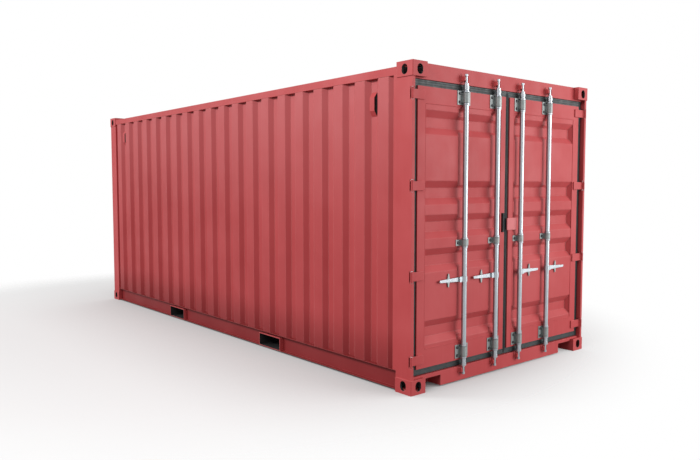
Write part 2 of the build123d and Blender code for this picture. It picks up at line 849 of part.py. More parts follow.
# The middle guide lies on the panel's field and bridges the bar's recess.
def middle_guides():
    solids = []
    for y in bar_positions:
        z0 = short_guide_level - short_guide_height / 2
        z1 = short_guide_level + short_guide_height / 2
        inner = bar_radius + guide_play
        outer = inner + guide_strap
        x = door_plane - bar_depth
        plate_front = groove_shift - guide_plate
        plate = door_block(plate_front, groove_shift, y - guide_width / 2, y + guide_width / 2, z0, z1)
        body = door_block(bar_depth, plate_front, y - outer, y + outer, z0, z1)
        round_part = Pos(x, y, short_guide_level) * Cylinder(outer, short_guide_height)
        bore = Pos(x, y, short_guide_level) * Cylinder(inner, short_guide_height)
        solids.append(plate + body + round_part - bore)
    return solids


def handle_retainers():
    solids = []
    for y in bar_positions:
        middle = y + retainer_distance
        back = retainer_front + retainer_plate
        boss = door_block(back, groove_shift, middle - retainer_boss_width / 2,
                          middle + retainer_boss_width / 2, handle_level - retainer_boss_height / 2,
                          handle_level + retainer_boss_height / 2)
        half = retainer_height / 2
        wide = retainer_width / 2
        tip = retainer_tip_width / 2
        outline = [(tip, half), (wide, 0), (tip, -half), (-tip, -half), (-wide, 0), (-tip, half)]
        face = Plane(origin=(door_plane - back, middle, handle_level), x_dir=(0, 1, 0), z_dir=(1, 0, 0))
        plate = extrude(face * make_face(Polyline(*outline, close=True)), amount=retainer_plate)
        solids.append(boss + plate)
    return solids


def lap_plate():
    return door_block(leaf_face - lap_plate_thickness, leaf_face, lap_plate_inner, lap_plate_outer,
                      lap_plate_bottom, lap_plate_top)


def pair(shape, name):
    """Save a right-hand piece and its left-hand mirror image."""
    if isinstance(shape, list):
        save(Compound(children=shape), "right_" + name)
        save(Compound(children=[left_of(solid) for solid in shape]), "left_" + name)
    else:
        save(shape, "right_" + name)
        save(left_of(shape), "left_" + name)


def group(solids, name):
    save(Compound(children=solids), name)


def main():
    os.makedirs("parts", exist_ok=True)
    fittings()
    pair(door_post(), "door_post")
    pair(front_post(), "front_post")
    pair(top_side_rail(), "top_rail")
    pair(bottom_side_rail(), "bottom_rail")
    save(door_header(), "door_header")
    save(door_sill(), "door_sill")
    save(front_top_rail(), "front_top_rail")
    save(front_bottom_rail(), "front_bottom_rail")
    pair(side_wall(), "side_wall")
    save(front_wall(), "front_wall")
    save(roof(), "roof_sheet")
    group(floor_boards(), "floor_boards")
    group(cross_members(), "cross_members")
    group(fork_pockets(), "fork_pockets")
    group(vent_hoods(), "vent_hoods")
    group(keepers(header_face, upper_keeper_bottom), "header_keepers")
    group(keepers(sill_face, lower_keeper_bottom), "sill_keepers")
    frame = leaf_frame()
    save(frame, "right_leaf_frame")
    save(left_of(stile_pocket(frame)), "left_leaf_frame")
    pair(leaf_panel(), "leaf_panel")
    pair(leaf_seal(), "leaf_seal")
    pair([hinge_blade(level) for level in hinge_levels], "hinge_blades")
    pair([hinge_lugs(level) for level in hinge_levels], "hinge_lugs")
    pair(leaf_guides() + middle_guides(), "bar_guides")
    pair(handle_retainers(), "handle_retainers")
    save(lap_plate(), "right_lap_plate")
    for y, name in zip(bar_positions, ("inner", "outer")):
        pair(locking_bar(y), name + "_bar")
        pair(bar_handle(y), name + "_handle")


main()
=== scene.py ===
import json
import math

import bpy
import numpy as np
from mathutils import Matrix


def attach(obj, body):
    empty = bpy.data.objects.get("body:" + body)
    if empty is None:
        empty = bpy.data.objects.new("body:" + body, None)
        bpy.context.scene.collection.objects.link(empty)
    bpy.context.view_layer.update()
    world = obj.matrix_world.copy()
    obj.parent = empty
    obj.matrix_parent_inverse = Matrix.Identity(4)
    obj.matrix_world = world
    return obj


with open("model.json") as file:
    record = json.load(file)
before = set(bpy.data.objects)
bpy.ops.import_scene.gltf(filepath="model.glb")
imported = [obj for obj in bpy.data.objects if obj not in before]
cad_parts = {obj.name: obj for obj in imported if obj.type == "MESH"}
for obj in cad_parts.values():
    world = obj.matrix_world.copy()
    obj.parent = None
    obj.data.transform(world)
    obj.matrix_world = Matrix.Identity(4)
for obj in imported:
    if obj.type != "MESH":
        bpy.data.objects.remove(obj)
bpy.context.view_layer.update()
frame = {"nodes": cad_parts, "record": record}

nodes = frame["nodes"]

# Sizes of the box and its gear, in metres, as the solids have them. A depth is measured inward from the
# door end's plane, a level upward from the ground, and a place sideways or lengthwise from the middle.
LENGTH, WIDTH, HEIGHT = 6.058, 2.438, 2.591
DOOR_END = LENGTH / 2
SIDE = WIDTH / 2
SIDES = (("right", 1), ("left", -1))

ROD_DEPTH = 0.010
ROD_PLACES = (0.172, 0.590)
PLACES = tuple(zip(("inner", "outer"), ROD_PLACES))
GUIDE_LEVELS = (0.259, 2.352)
MIDDLE_LEVEL = 1.168
LEAF_FACE = 0.038
GUIDE_FACE = DOOR_END - LEAF_FACE + 0.005
MIDDLE_GUIDE_FACE = DOOR_END - 0.035
GUIDE_BOLTS_ASIDE, GUIDE_BOLTS_UP = 0.053, 0.034
SEAL_FACE = DOOR_END - 0.050
PANEL_FACE = DOOR_END - LEAF_FACE - 0.002
PANEL_SIDES, PANEL_ENDS = (0.091, 1.036), (0.338, 2.279)

HINGE_LEVELS = (0.262, 0.930, 1.637, 2.342)
HINGE_INSET = 0.014
HINGE_PIN_REACH = 0.046
BLADE_TIP, BLADE_ROOT, BLADE_HALF = 0.165, 0.097, 0.036
POST_ENDS = (0.118, 2.473)

FITTING_HOLE_LEVEL = 0.0635
FITTING_HOLE_IN_END, FITTING_HOLE_IN_SIDE = 0.081, 0.089
POCKET_PLACES = (-1.025, 1.025)
POCKET_HALF = 0.180
VENT_PLACES = (2.5517, -2.5877)
VENT_LEVEL = 2.296
FLOOR_TOP = 0.172


def linear(hex_colour):
    """sRGB hex to linear red, green, blue and alpha: c / 12.92 below 0.04045, else
    ((c + 0.055) / 1.055) ** 2.4."""
    c = np.array([int(hex_colour[i:i + 2], 16) for i in (1, 3, 5)]) / 255
    c = np.where(c <= 0.04045, c / 12.92, ((c + 0.055) / 1.055) ** 2.4)
    return (*c.tolist(), 1.0)


def add(tree, kind, settings=None, **links):
    """Adds one node, sets its fields, and fills its inputs with values or with other nodes' outputs.
    An input is named in lower case with underscores, or in0, in1 ... by its place."""
    made = tree.nodes.new(kind)
    for field, value in (settings or {}).items():
        setattr(made, field, value)
    for name, value in links.items():
        if name.startswith("in") and name[2:].isdigit():
            socket = made.inputs[int(name[2:])]
        else:
            socket = next(s for s in made.inputs if s.name.lower().replace(" ", "_") == name)
        if isinstance(value, bpy.types.NodeSocket):
            tree.links.new(value, socket)
        else:
            socket.default_value = value
    return made


def ramp(tree, factor, *stops):
    """Colour ramp over (place, hex colour or grey level) stops."""
    made = add(tree, "ShaderNodeValToRGB", in0=factor)
    elements = made.color_ramp.elements
    while len(elements) < len(stops):
        elements.new(0.5)
    for element, (place, value) in zip(elements, stops):
        element.position = place
        element.color = linear(value) if isinstance(value, str) else (value, value, value, 1.0)
    return made.outputs[0]


def mix(tree, factor, first, second):
    """Colour mix of two values or sockets."""
    made = add(tree, "ShaderNodeMix", {"data_type": "RGBA"}, in0=factor)
    for socket, value in ((made.inputs[6], first), (made.inputs[7], second)):
        if isinstance(value, bpy.types.NodeSocket):
            tree.links.new(value, socket)
        else:
            socket.default_value = linear(value) if isinstance(value, str) else (value, value, value, 1.0)
    return made.outputs[2]


def pattern(tree, size_mm, stretch=(1, 1, 1), detail=4.0):
    """Noise whose grains are about size_mm across, drawn out along an axis by its stretch."""
    place = add(tree, "ShaderNodeTexCoord").outputs["Object"]
    scale = tuple(1 / s for s in stretch)
    mapped = add(tree, "ShaderNodeMapping", in0=place, scale=scale).outputs[0]
    return add(tree, "ShaderNodeTexNoise", vector=mapped, scale=1000 / size_mm, detail=detail,
               roughness=0.55).outputs[0]


def rounded(tree, radius_mm):
    """Normal of the surface with its edges rounded to radius_mm, and a mask near 1 at those edges:
    one minus the dot of the rounded and the true normal."""
    soft = add(tree, "ShaderNodeBevel", {"samples": 6}, radius=radius_mm / 1000).outputs[0]
    true = add(tree, "ShaderNodeNewGeometry").outputs["Normal"]
    dot = add(tree, "ShaderNodeVectorMath", {"operation": "DOT_PRODUCT"}, in0=soft,
              in1=true).outputs["Value"]
    return soft, add(tree, "ShaderNodeMath", {"operation": "SUBTRACT"}, in0=1.0, in1=dot).outputs[0]


def shader(name, **sockets):
    """New material with one Principled shader, given its sockets."""
    made = bpy.data.materials.new(name)
    made.use_nodes = True
    tree = made.node_tree
    surface = tree.nodes["Principled BSDF"]
    for key, value in sockets.items():
        surface.inputs[key.replace("_", " ")].default_value = value
    return made, tree, surface


def bump(tree, surface, height, strength, reach_mm, under=None):
    """Bump from a height between 0 and 1, whose full rise is reach_mm, over the rounded normal if given."""
    made = add(tree, "ShaderNodeBump", strength=strength, distance=reach_mm / 1000, height=height)
    if under is not None:
        tree.links.new(under, made.inputs["Normal"])
    tree.links.new(made.outputs[0], surface.inputs["Normal"])


PLATE_EDGE_MM = 3.0
# The bends of a rolled sheet are wider than a plate's edge, and the lighter band along them is partly a
# painted highlight.
SHEET_BEND_MM = 9.0
# Dark red painted shade for the foot of the walls and sheets.
PAINTED_FOOT_SHADE = "#7a2123"


def container_paint(name, base, faded, worn, edge_mm=PLATE_EDGE_MM, painted_light_tone=None):
    """Chlorinated rubber paint sprayed on blasted steel: satin, with faint orange peel,
    chalky faded patches, thin rain streaks and lighter edges, partly wear from rubbing and partly a
    painted highlight along the bends. Given a top colour, it turns toward it from half height to the
    roof, a painted light, and a dark red painted shade darkens its foot."""
    made, tree, surface = shader(name, Specular_IOR_Level=0.22)
    patches = ramp(tree, pattern(tree, 620, detail=3), (0.35, 0.0), (0.7, 1.0))
    streaks = ramp(tree, pattern(tree, 38, (1, 1, 22), detail=5), (0.48, 0.0), (0.74, 1.0))
    colour = mix(tree, patches, base, faded)
    thin = add(tree, "ShaderNodeMath", {"operation": "MULTIPLY"}, in0=streaks, in1=0.30).outputs[0]
    colour = mix(tree, thin, colour, faded)
    if painted_light_tone:
        # Painted light: the colour turns lighter, unevenly, toward the roof. Painted shade: it turns darker
        # toward the foot.
        place = add(tree, "ShaderNodeTexCoord").outputs["Object"]
        level = add(tree, "ShaderNodeSeparateXYZ", in0=place).outputs["Z"]
        high = add(tree, "ShaderNodeMapRange", {"interpolation_type": "SMOOTHSTEP"}, value=level,
                   from_min=1.1, from_max=2.6).outputs[0]
        uneven = ramp(tree, pattern(tree, 300, (1, 1, 3), detail=5), (0.25, 0.65), (0.75, 1.0))
        painted_light_mask = add(tree, "ShaderNodeMath", {"operation": "MULTIPLY"}, in0=high, in1=uneven).outputs[0]
        colour = mix(tree, painted_light_mask, colour, painted_light_tone)
        foot = add(tree, "ShaderNodeMapRange", {"interpolation_type": "SMOOTHSTEP"}, value=level,
                   from_min=0.16, from_max=0.56, to_min=0.75, to_max=0.0).outputs[0]
        colour = mix(tree, foot, colour, PAINTED_FOOT_SHADE)
    # Lighter edges and bends: partly wear from rubbing, partly a painted highlight where they catch the
    # light.
    soft, turning = rounded(tree, edge_mm)
    lighter_edges = ramp(tree, turning, (0.03, 0.0), (0.20, 0.8))
    colour = mix(tree, lighter_edges, colour, worn)
    tree.links.new(colour, surface.inputs["Base Color"])
    # Orange peel is under 2 mm in life; 7 mm is as fine as the render can show.
    peel = pattern(tree, 7, detail=2)
    sheen = ramp(tree, pattern(tree, 240, detail=5), (0.3, 0.50), (0.75, 0.64))
    tree.links.new(sheen, surface.inputs["Roughness"])
    bump(tree, surface, peel, 0.10, 0.4, soft)
    return made


def zinc(name, dark="#a3a9ae", light="#aab0b5", worn="#959ba0", smooth=0.27, rough=0.33):
    """Hot-dip galvanised forging and tube: pale grey, satin, with soft spangle and drawn streaks."""
    made, tree, surface = shader(name, Metallic=0.85)
    spangle = add(tree, "ShaderNodeTexVoronoi", vector=add(tree, "ShaderNodeTexCoord").outputs["Object"],
                  scale=1000 / 14).outputs["Color"]
    tone = ramp(tree, spangle, (0.0, dark), (1.0, light))
    dull = ramp(tree, pattern(tree, 60, (1, 1, 6)), (0.35, 0.0), (0.75, 0.3))
    tree.links.new(mix(tree, dull, tone, worn), surface.inputs["Base Color"])
    tree.links.new(ramp(tree, pattern(tree, 90), (0.3, smooth), (0.7, rough)), surface.inputs["Roughness"])
    bump(tree, surface, pattern(tree, 40), 0.02, 0.2)
    return made


def door_rubber(name):
    """Extruded EPDM: near black with a green-grey bloom, matt, with fine lengthwise drawing marks."""
    made, tree, surface = shader(name, IOR=1.52)
    bloom = ramp(tree, pattern(tree, 90, detail=5), (0.4, "#0e1516"), (0.75, "#1e2a2c"))
    tree.links.new(bloom, surface.inputs["Base Color"])
    tree.links.new(ramp(tree, pattern(tree, 45), (0.3, 0.52), (0.7, 0.72)), surface.inputs["Roughness"])
    bump(tree, surface, pattern(tree, 6), 0.15, 0.4)
    return made


def keruing(name):
    """Marine plywood of keruing: red-brown grain along the boards, scuffed by loads."""
    made, tree, surface = shader(name, IOR=1.5)
    grain = pattern(tree, 16, (14, 1, 1), detail=7)
    tone = ramp(tree, grain, (0.3, "#5a3520"), (0.5, "#7c4c2d"), (0.72, "#9b6a42"))
    scuffs = ramp(tree, pattern(tree, 130, (3, 1, 1), detail=6), (0.55, 0.0), (0.72, 0.6))
    tree.links.new(mix(tree, scuffs, tone, "#8d7a66"), surface.inputs["Base Color"])
    tree.links.new(ramp(tree, grain, (0.2, 0.52), (0.8, 0.78)), surface.inputs["Roughness"])
    bump(tree, surface, grain, 0.25, 0.6)
    return made


def bitumen(name, clean="#1d1917", dusty="#4b4038"):
    """Bituminous underside coat: black-brown, thick and lumpy, with road dust."""
    made, tree, surface = shader(name)
    dust = ramp(tree, pattern(tree, 180, detail=6), (0.45, clean), (0.8, dusty))
    tree.links.new(dust, surface.inputs["Base Color"])
    tree.links.new(ramp(tree, pattern(tree, 50), (0.3, 0.55), (0.7, 0.8)), surface.inputs["Roughness"])
    bump(tree, surface, pattern(tree, 18), 0.5, 1.2)
    return made


def dark_grey_steel(name):
    """Bolt steel, dark grey and satin, with lighter corners worn by rubbing."""
    made, tree, surface = shader(name, Metallic=0.7)
    soft, turning = rounded(tree, 1.0)
    lighter_edges = ramp(tree, turning, (0.03, 0.0), (0.2, 0.7))
    tree.links.new(mix(tree, lighter_edges, "#3a3c3e", "#8b8f92"), surface.inputs["Base Color"])
    tree.links.new(ramp(tree, pattern(tree, 12), (0.3, 0.38), (0.7, 0.55)), surface.inputs["Roughness"])
    bump(tree, surface, pattern(tree, 5), 0.1, 0.2, soft)
    return made


paint = container_paint("sprayed_red_container_paint", "#af3f41", "#ba4c4e", "#db8a87")
rolled = container_paint("painted_rolled_sheet", "#af4042", "#ba4d4f", "#d98784", SHEET_BEND_MM)
# The outer sheets are painted lighter toward the roof, a painted light, and darker at the foot, a painted
# shade.
wall_paint_lit_top_shaded_foot = container_paint("chalked_wall_sheet_paint", "#a63a3c", "#b04446", "#d98784", SHEET_BEND_MM,
                          "#b65557")
galvanised = zinc("hot_dip_galvanised_steel")
# The bottom rails are painted darker, a painted shade along the foot of the box.
rail_paint_painted_shade = container_paint("grimed_rail_paint", "#7c2022", "#862a2c", "#a85552")
# The lap plate is painted paler than the leaves.
paler_lap_plate = container_paint("scuffed_lap_plate_paint", "#c9686a", "#d07678", "#dd9492")
# The pressed guides and retainers have gone dull, where the hands and the straps keep the rods bright.
weathered = zinc("weathered_zinc_pressings", "#7f8584", "#8b908f", "#6f7473", 0.48, 0.62)
rubber = door_rubber("extruded_epdm_rubber")
plywood = keruing("keruing_marine_plywood")
coat = bitumen("bituminous_underside_coat")
# Near-black painted shade for the hollows of the fittings, the fork pockets and the vent hoods, drawn with
# the underside coat's shader.
black_painted_shade = bitumen("black_primer", "#0b0a0a", "#1a1817")
dark_bolt = dark_grey_steel("black_oxide_bolt")
finishes = {"red_paint": paint, "galvanised": galvanised, "seal_rubber": rubber, "floor_ply": plywood,
            "under_coat": coat}
special = {"front_wall": wall_paint_lit_top_shaded_foot, "roof_sheet": wall_paint_lit_top_shaded_foot, "right_lap_plate": paler_lap_plate}
for side_name, _ in SIDES:
    special[side_name + "_leaf_panel"] = rolled
    special[side_name + "_side_wall"] = wall_paint_lit_top_shaded_foot
    special[side_name + "_bottom_rail"] = rail_paint_painted_shade
    special[side_name + "_bar_guides"] = special[side_name + "_handle_retainers"] = weathered
for part in frame["record"]["subparts"]:
    for place in nodes[part["node"]].material_slots:
        place.material = special.get(part["node"], finishes[part["material_slot"]])


def dressed(name, points, faces, material, body):
    """Object from (n, 3) points and their faces, in one material, riding a body of the part."""
    mesh = bpy.data.meshes.new(name)
    mesh.from_pydata(points.tolist(), [], faces)
    mesh.validate()
    mesh.update()
    mesh.materials.append(material)
    made = bpy.data.objects.new(name, mesh)
    bpy.context.scene.collection.objects.link(made)
    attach(made, body)
    return made


def surface_mesh(name, grids, material, body, smooth=True, looped=False):
    """Mesh from grids of points, shape (pieces, rows, round, 3), each closed round its rows: one face
    to a cell. The first and last row of a grid are one point each, joined to the next row by
    triangles, unless the rows are looped, when the last is joined to the first."""
    count, rows, around = grids.shape[:3]
    if looped:
        points = grids.reshape(count, -1, 3)
        ring = np.arange(rows * around).reshape(rows, around)
        ring = np.concatenate([ring, ring[:1]])
        caps = np.zeros((0, 3), int)
    else:
        between = grids[:, 1:-1].reshape(count, -1, 3)
        points = np.concatenate([grids[:, :1, 0], between, grids[:, -1:, 0]], axis=1)
        ring = 1 + np.arange((rows - 2) * around).reshape(rows - 2, around)
        first = np.stack([np.zeros(around, int), np.roll(ring[0], -1), ring[0]], -1)
        last = np.stack([np.full(around, points.shape[1] - 1), ring[-1], np.roll(ring[-1], -1)], -1)
        caps = np.concatenate([first, last])
    after = np.roll(ring, -1, axis=1)
    cells = np.stack([ring[:-1], after[:-1], after[1:], ring[1:]], -1).reshape(-1, 4)
    shift = points.shape[1] * np.arange(count)[:, None, None]
    faces = (cells + shift).reshape(-1, 4).tolist() + (caps + shift).reshape(-1, 3).tolist()
    made = dressed(name, points.reshape(-1, 3), faces, material, body)
    made.data.polygons.foreach_set("use_smooth", np.full(len(made.data.polygons), smooth))


def bolts(name, centres, flats, tall, material, body):
    """Hexagon heads with a washer, facing out of the door end: a six-sided outline
    r(a) = flats / 2 / cos(a mod 60 - 30) over a round washer, rising row by row and drawn in to a
    point below and above, point = centre + (rise, -r * cos a, -r * sin a). Centres are (n, 3)."""
    angle = np.radians(np.arange(0, 360, 15) + 7.5)
    hexagon = flats / 2 / np.cos(np.mod(angle, math.pi / 3) - math.pi / 6)
    washer = np.full_like(angle, flats * 0.78)
    round_top = np.full_like(angle, flats * 0.46)
    seat, shoulder = tall * 0.22, tall * 0.9
    rows = [(washer * 0.0, 0.0), (washer, 0.0), (washer, seat), (hexagon, seat), (hexagon, shoulder),
            (round_top, tall), (round_top * 0.0, tall)]
    r = np.stack([row for row, _ in rows])
    h = np.array([rise for _, rise in rows])
    local = np.stack([np.broadcast_to(h[:, None], r.shape), -r * np.cos(angle), -r * np.sin(angle)], -1)
    grids = np.array(centres)[:, None, None] + local[None]
    surface_mesh(name, grids, material, body, smooth=False)


BEAD_STEP = 0.009
BEAD_STEPS = (8, 240)


def beads(name, starts, ends, radius, material, body, swelling=0.16):
    """Weld beads: a six-sided section of the given radius swept from start to end, growing by
    swelling * |sin| from step to step for the ripples of the pass and closing to a point at both
    ends. A step is about 9 mm on the longest. With no swelling they are moulded ribs."""
    starts, ends = np.array(starts, float), np.array(ends, float)
    longest = np.linalg.norm(ends - starts, axis=1).max()
    steps = max(BEAD_STEPS[0], min(BEAD_STEPS[1], int(longest / BEAD_STEP)))
    t = np.linspace(0, 1, steps)
    along = (ends - starts) / np.linalg.norm(ends - starts, axis=1)[:, None]
    pick = np.where(np.abs(along[:, 2:]) > 0.9, np.array([[1.0, 0, 0]]), np.array([[0, 0, 1.0]]))
    side = np.cross(along, pick)
    side = side / np.linalg.norm(side, axis=1)[:, None]
    up = np.cross(along, side)
    swell = radius * (0.9 + swelling * np.abs(np.sin(np.arange(steps) * math.pi / 2 + 0.4)))
    swell[[0, -1]] = 0.0
    angle = np.radians(np.arange(0, 360, 60))
    path = starts[:, None] + (ends - starts)[:, None] * t[None, :, None]
    ring = np.cos(angle)[None, :, None] * side[:, None] + np.sin(angle)[None, :, None] * up[:, None]
    grids = path[:, :, None] + swell[None, :, None, None] * ring[:, None]
    surface_mesh(name, grids, material, body)


def turned(name, centres, profile, material, body, around=24):
    """Turned pieces: the profile's (radius, rise) pairs spun once round the upright axis through each
    centre, point = centre + (radius * cos a, radius * sin a, rise). Both ends meet the axis."""
    angle = np.linspace(0, 2 * math.pi, around, endpoint=False)
    rows = np.array(profile, float)
    local = np.zeros((len(rows), around, 3))
    local[..., 0] = rows[:, :1] * np.cos(angle)
    local[..., 1] = rows[:, :1] * np.sin(angle)
    local[..., 2] = rows[:, 1:]
    grids = np.array(centres, float)[:, None, None] + local[None]
    surface_mesh(name, grids, material, body, smooth=False)


def slabs(name, points, material, body, soften):
    """Flat bars and plates: six faces between the eight corners of each, its first four corners
    going round the lower face and its last four round the upper. Edges are rounded by a bevel."""
    points = np.array(points, float)
    faces = np.array([(0, 3, 2, 1), (4, 5, 6, 7), (0, 1, 5, 4), (1, 2, 6, 5), (2, 3, 7, 6), (3, 0, 4, 7)])
    quads = faces[None] + 8 * np.arange(len(points))[:, None, None]
    made = dressed(name, points.reshape(-1, 3), quads.reshape(-1, 4).tolist(), material, body)
    edge = made.modifiers.new("rounded_edges", "BEVEL")
    edge.width = soften
    edge.segments = 2


def corners(pairs):
    """The eight corners of each box, given as (n, 2, 3) low and high corners."""
    lower = [(0, 0, 0), (1, 0, 0), (1, 1, 0), (0, 1, 0)]
    pick = np.array(lower + [(x, y, 1) for x, y, _ in lower])
    return np.array(pairs, float)[:, pick, np.arange(3)]


# Bolts that hold the rod guides to the doors, two each side of the strap.
BOLT_FLATS, BOLT_TALL = 0.017, 0.009
for side_name, side in SIDES:
    centres = [(GUIDE_FACE, side * y + dy, level + dz) for y in ROD_PLACES for level in GUIDE_LEVELS
               for dy in (-GUIDE_BOLTS_ASIDE, GUIDE_BOLTS_ASIDE) for dz in (-GUIDE_BOLTS_UP, GUIDE_BOLTS_UP)]
    centres += [(MIDDLE_GUIDE_FACE, side * y + dy, MIDDLE_LEVEL) for y in ROD_PLACES
                for dy in (-GUIDE_BOLTS_ASIDE, GUIDE_BOLTS_ASIDE)]
    bolts(side_name + "_guide_bolts", centres, BOLT_FLATS, BOLT_TALL, dark_bolt, side_name + "_leaf")

# Collars welded to each rod above and below its guides.
COLLAR_REACH, MIDDLE_COLLAR_REACH = 0.050, 0.035
COLLAR = [(0.0, -0.008), (0.0235, -0.008), (0.0265, -0.005), (0.0265, 0.005), (0.0235, 0.008), (0.0, 0.008)]
levels = [level + up * COLLAR_REACH for level in GUIDE_LEVELS for up in (-1, 1)]
levels += [MIDDLE_LEVEL - MIDDLE_COLLAR_REACH, MIDDLE_LEVEL + MIDDLE_COLLAR_REACH]
for side_name, side in SIDES:
    for place, y in PLACES:
        spots = [(DOOR_END - ROD_DEPTH, side * y, z) for z in levels]
        turned(side_name + "_" + place + "_rod_collars", spots, COLLAR, galvanised,
               side_name + "_" + place + "_rod")

# Two moulded ribs along the face of each seal, on all four edges of the leaf. Each lies at a share of the
# way across the seal, from the leaf's frame outward: first where the seal starts, then how far it reaches,
# at the seam, at the hinges, and below and above.
RIB_SHARES = (0.34, 0.74)
RIB_RADIUS = 0.0028
SEAM_START, SEAM_REACH = 0.029, 0.025
HINGES_START, HINGES_REACH = 0.095, 0.055
FOOT_START, HEAD_START, ENDS_REACH = 0.187, 2.409, 0.049
for side_name, side in SIDES:
    starts, ends = [], []
    for share in RIB_SHARES:
        y0 = side * (SEAM_START - share * SEAM_REACH)
        y1 = side * (SIDE - HINGES_START + share * HINGES_REACH)
        z0, z1 = FOOT_START - share * ENDS_REACH, HEAD_START + share * ENDS_REACH
        starts += [(SEAL_FACE, y0, z0), (SEAL_FACE, y1, z0), (SEAL_FACE, y0, z0), (SEAL_FACE, y0, z1)]
        ends += [(SEAL_FACE, y0, z1), (SEAL_FACE, y1, z1), (SEAL_FACE, y1, z0), (SEAL_FACE, y1, z1)]
    beads(side_name + "_seal_ribs", starts, ends, RIB_RADIUS, rubber, side_name + "_leaf",
          swelling=0.0)

# Rounded heads of the hinge pins, above and below their lugs.
PIN_HEAD = [(0.0, -0.004), (0.0055, -0.0036), (0.0082, -0.002), (0.0088, 0.0), (0.0082, 0.002),
            (0.0055, 0.0036), (0.0, 0.004)]
for side_name, side in SIDES:
    spots = [(DOOR_END - HINGE_INSET, side * (SIDE - HINGE_INSET), level + up * HINGE_PIN_REACH)
             for level in HINGE_LEVELS for up in (-1, 1)]
    turned(side_name + "_hinge_pin_heads", spots, PIN_HEAD, galvanised, "box_frame")

# Fillet welds: hinge blades to the leaf, panel to the leaf frame, posts to the corner fittings.
FILLET, THIN_FILLET = 0.004, 0.0035
POST_FACE, POST_SIDE = DOOR_END - 0.008, SIDE - 0.006
# How far in from the side, and from the door end, the welds on a post's two faces start and stop.
FACE_WELD, SIDE_WELD = (0.034, 0.008), (0.010, 0.176)
for side_name, side in SIDES:
    blade, tip, root = DOOR_END - LEAF_FACE, side * (SIDE - BLADE_TIP), side * (SIDE - BLADE_ROOT)
    starts, ends = [], []
    for level in HINGE_LEVELS:
        low, high = level - BLADE_HALF, level + BLADE_HALF
        starts += [(blade, tip, low), (blade, tip, low), (blade, tip, high)]
        ends += [(blade, tip, high), (blade, root, low), (blade, root, high)]
    beads(side_name + "_hinge_welds", starts, ends, FILLET, paint, side_name + "_leaf")
    starts = [(PANEL_FACE, side * y, PANEL_ENDS[0]) for y in PANEL_SIDES]
    starts += [(PANEL_FACE, side * PANEL_SIDES[0], z) for z in PANEL_ENDS]
    ends = [(PANEL_FACE, side * y, PANEL_ENDS[1]) for y in PANEL_SIDES]
    ends += [(PANEL_FACE, side * PANEL_SIDES[1], z) for z in PANEL_ENDS]
    beads(side_name + "_panel_welds", starts, ends, THIN_FILLET, paint, side_name + "_leaf")
    starts = [(POST_FACE, side * (SIDE - FACE_WELD[0]), z) for z in POST_ENDS]
    starts += [(DOOR_END - SIDE_WELD[0], side * POST_SIDE, z) for z in POST_ENDS]
    ends = [(POST_FACE, side * (SIDE - FACE_WELD[1]), z) for z in POST_ENDS]
    ends += [(DOOR_END - SIDE_WELD[1], side * POST_SIDE, z) for z in POST_ENDS]
    beads(side_name + "_post_welds", starts, ends, FILLET, paint, "box_frame")

# Painted shade: black slabs on the walls inside each corner fitting that face its holes, standing in
# for the shade inside the casting. Each is a thin slab, kept 1 mm to 3 mm short of the next so that no
# two share a corner.
FITTING_WALL = 0.020
FITTING_DEEP, FITTING_WIDE = 0.158, 0.142
CAVITY_LOW, CAVITY_HIGH = 0.029, 0.0985
THIN = 0.001
walls = []
for end in (-1, 1):
    for _, side in SIDES:
        for low in (True, False):
            x = sorted((end * (DOOR_END - FITTING_WALL), end * (DOOR_END - FITTING_DEEP)))
            y = sorted((side * (SIDE - FITTING_WALL), side * (SIDE - FITTING_WIDE)))
            z = (CAVITY_LOW, CAVITY_HIGH) if low else (HEIGHT - CAVITY_HIGH, HEIGHT - CAVITY_LOW)
            back_x = x[0] if end > 0 else x[1]
            back_y = y[0] if side > 0 else y[1]
            back_z = z[1] if low else z[0]
            near_x, far_x = sorted((back_x, back_x + end * THIN))
            near_y, far_y = sorted((back_y, back_y + side * THIN))
            walls += [[(near_x, y[0], z[0]), (far_x, y[1], z[1])],
                      [(x[0] + 0.002, near_y, z[0] + 0.001), (x[1] - 0.002, far_y, z[1] - 0.001)],
                      [(x[0] + 0.003, y[0] + 0.003, back_z - THIN / 2),
                       (x[1] - 0.003, y[1] - 0.003, back_z + THIN / 2)]]
slabs("fitting_primer", corners(walls), black_painted_shade, "box_frame", 0.0002)

# The same black painted shade lines the oblong holes in the fittings' sides and ends: two half circles of
# one radius, their centres a straight run apart, drawn through the wall and back as a closed sleeve.
turn = np.radians(np.arange(0, 181, 20))
bend = np.concatenate([turn, turn + math.pi])
run = np.repeat([0.008, -0.008], len(turn))
OUTER, INNER, MOUTH, FOOT = 0.0323, 0.0314, 0.0007, 0.0185
SLEEVE = ((OUTER, MOUTH), (OUTER, FOOT), (INNER, FOOT), (INNER, MOUTH))
sleeves = []
for end in (-1, 1):
    for _, side in SIDES:
        for level in (FITTING_HOLE_LEVEL, HEIGHT - FITTING_HOLE_LEVEL):
            for axis, sign, face, middle in ((0, end, DOOR_END, side * (SIDE - FITTING_HOLE_IN_END)),
                                             (1, side, SIDE, end * (DOOR_END - FITTING_HOLE_IN_SIDE))):
                grid = np.zeros((len(SLEEVE), len(bend), 3))
                for row, (radius, depth) in enumerate(SLEEVE):
                    grid[row, :, 1 - axis] = middle + radius * np.cos(bend)
                    grid[row, :, 2] = level + run + radius * np.sin(bend)
                    grid[row, :, axis] = sign * (face - depth)
                sleeves.append(grid[:, ::sign if axis else -sign])
surface_mesh("fitting_hole_linings", np.array(sleeves), black_painted_shade, "box_frame", smooth=False,
             looped=True)

